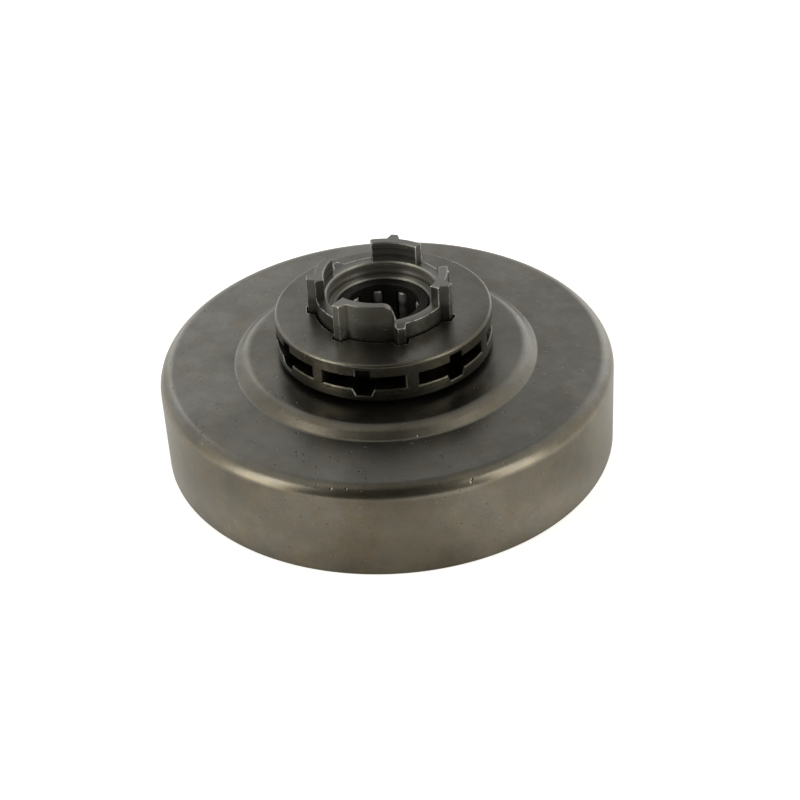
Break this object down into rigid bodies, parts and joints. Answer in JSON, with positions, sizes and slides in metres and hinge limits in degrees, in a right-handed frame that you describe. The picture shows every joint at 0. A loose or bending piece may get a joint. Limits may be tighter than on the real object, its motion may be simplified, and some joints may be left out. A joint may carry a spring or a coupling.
{
  "type": "chain saw clutch drum",
  "caption": "Stamped steel clutch drum with a splined hub, a windowed rim sprocket that floats on the splines, a slotted crown of drive lugs and a caged needle bearing in its bore.",
  "frame": {"origin": "on the drum's axis, in the plane of the cup's open edge", "axes": "+Z along the crankshaft's axis out of the hub's crown, +Y away from the picture's camera, +X to the picture's right"},
  "size_m": [0.079, 0.079, 0.0335],
  "materials": {
    "drum_steel": "satin, brownish, lightly oiled",
    "hub_steel": "turned and hardened, worn bright at its edges",
    "rim_steel": "hardened, dark in the windows and bright at its edges",
    "cage_steel": "blackened",
    "roller_steel": "ground"
  },
  "bodies": {
    "drum": {"clutch_drum": "drum_steel", "spline_hub": "hub_steel"},
    "rim": {"rim_sprocket": "rim_steel"},
    "cage": {"bearing_cage": "cage_steel"},
    "roller_1": {"roller_1": "roller_steel"},
    "roller_2": {"roller_2": "roller_steel"},
    "roller_3": {"roller_3": "roller_steel"},
    "roller_4": {"roller_4": "roller_steel"},
    "roller_5": {"roller_5": "roller_steel"},
    "roller_6": {"roller_6": "roller_steel"},
    "roller_7": {"roller_7": "roller_steel"},
    "roller_8": {"roller_8": "roller_steel"},
    "roller_9": {"roller_9": "roller_steel"}
  },
  "joints": [
    {"name": "rim_float", "type": "slide", "parent": "drum", "child": "rim", "axis": [0, 0, 1], "range_m": [0, 0.00665]},
    {"name": "cage_spin", "type": "hinge", "parent": "drum", "child": "cage", "pos_m": [0, 0, 0.0209], "axis": [0, 0, 1], "continuous": true},
    {"name": "roller_1_spin", "type": "hinge", "parent": "cage", "child": "roller_1", "pos_m": [0.00669, 0.00205, 0.0209], "axis": [0, 0, 1], "continuous": true},
    {"name": "roller_2_spin", "type": "hinge", "parent": "cage", "child": "roller_2", "pos_m": [0.00381, 0.00587, 0.0209], "axis": [0, 0, 1], "continuous": true},
    {"name": "roller_3_spin", "type": "hinge", "parent": "cage", "child": "roller_3", "pos_m": [-0.00085, 0.00695, 0.0209], "axis": [0, 0, 1], "continuous": true},
    {"name": "roller_4_spin", "type": "hinge", "parent": "cage", "child": "roller_4", "pos_m": [-0.00512, 0.00477, 0.0209], "axis": [0, 0, 1], "continuous": true},
    {"name": "roller_5_spin", "type": "hinge", "parent": "cage", "child": "roller_5", "pos_m": [-0.00699, 0.00037, 0.0209], "axis": [0, 0, 1], "continuous": true},
    {"name": "roller_6_spin", "type": "hinge", "parent": "cage", "child": "roller_6", "pos_m": [-0.00559, -0.00421, 0.0209], "axis": [0, 0, 1], "continuous": true},
    {"name": "roller_7_spin", "type": "hinge", "parent": "cage", "child": "roller_7", "pos_m": [-0.00157, -0.00682, 0.0209], "axis": [0, 0, 1], "continuous": true},
    {"name": "roller_8_spin", "type": "hinge", "parent": "cage", "child": "roller_8", "pos_m": [0.00318, -0.00624, 0.0209], "axis": [0, 0, 1], "continuous": true},
    {"name": "roller_9_spin", "type": "hinge", "parent": "cage", "child": "roller_9", "pos_m": [0.00644, -0.00274, 0.0209], "axis": [0, 0, 1], "continuous": true}
  ],
  "couplings": [
    {"joint": "roller_1_spin", "follows": "cage_spin", "ratio": -8.02},
    {"joint": "roller_2_spin", "follows": "cage_spin", "ratio": -8.02},
    {"joint": "roller_3_spin", "follows": "cage_spin", "ratio": -8.02},
    {"joint": "roller_4_spin", "follows": "cage_spin", "ratio": -8.02},
    {"joint": "roller_5_spin", "follows": "cage_spin", "ratio": -8.02},
    {"joint": "roller_6_spin", "follows": "cage_spin", "ratio": -8.02},
    {"joint": "roller_7_spin", "follows": "cage_spin", "ratio": -8.02},
    {"joint": "roller_8_spin", "follows": "cage_spin", "ratio": -8.02},
    {"joint": "roller_9_spin", "follows": "cage_spin", "ratio": -8.02}
  ]
}
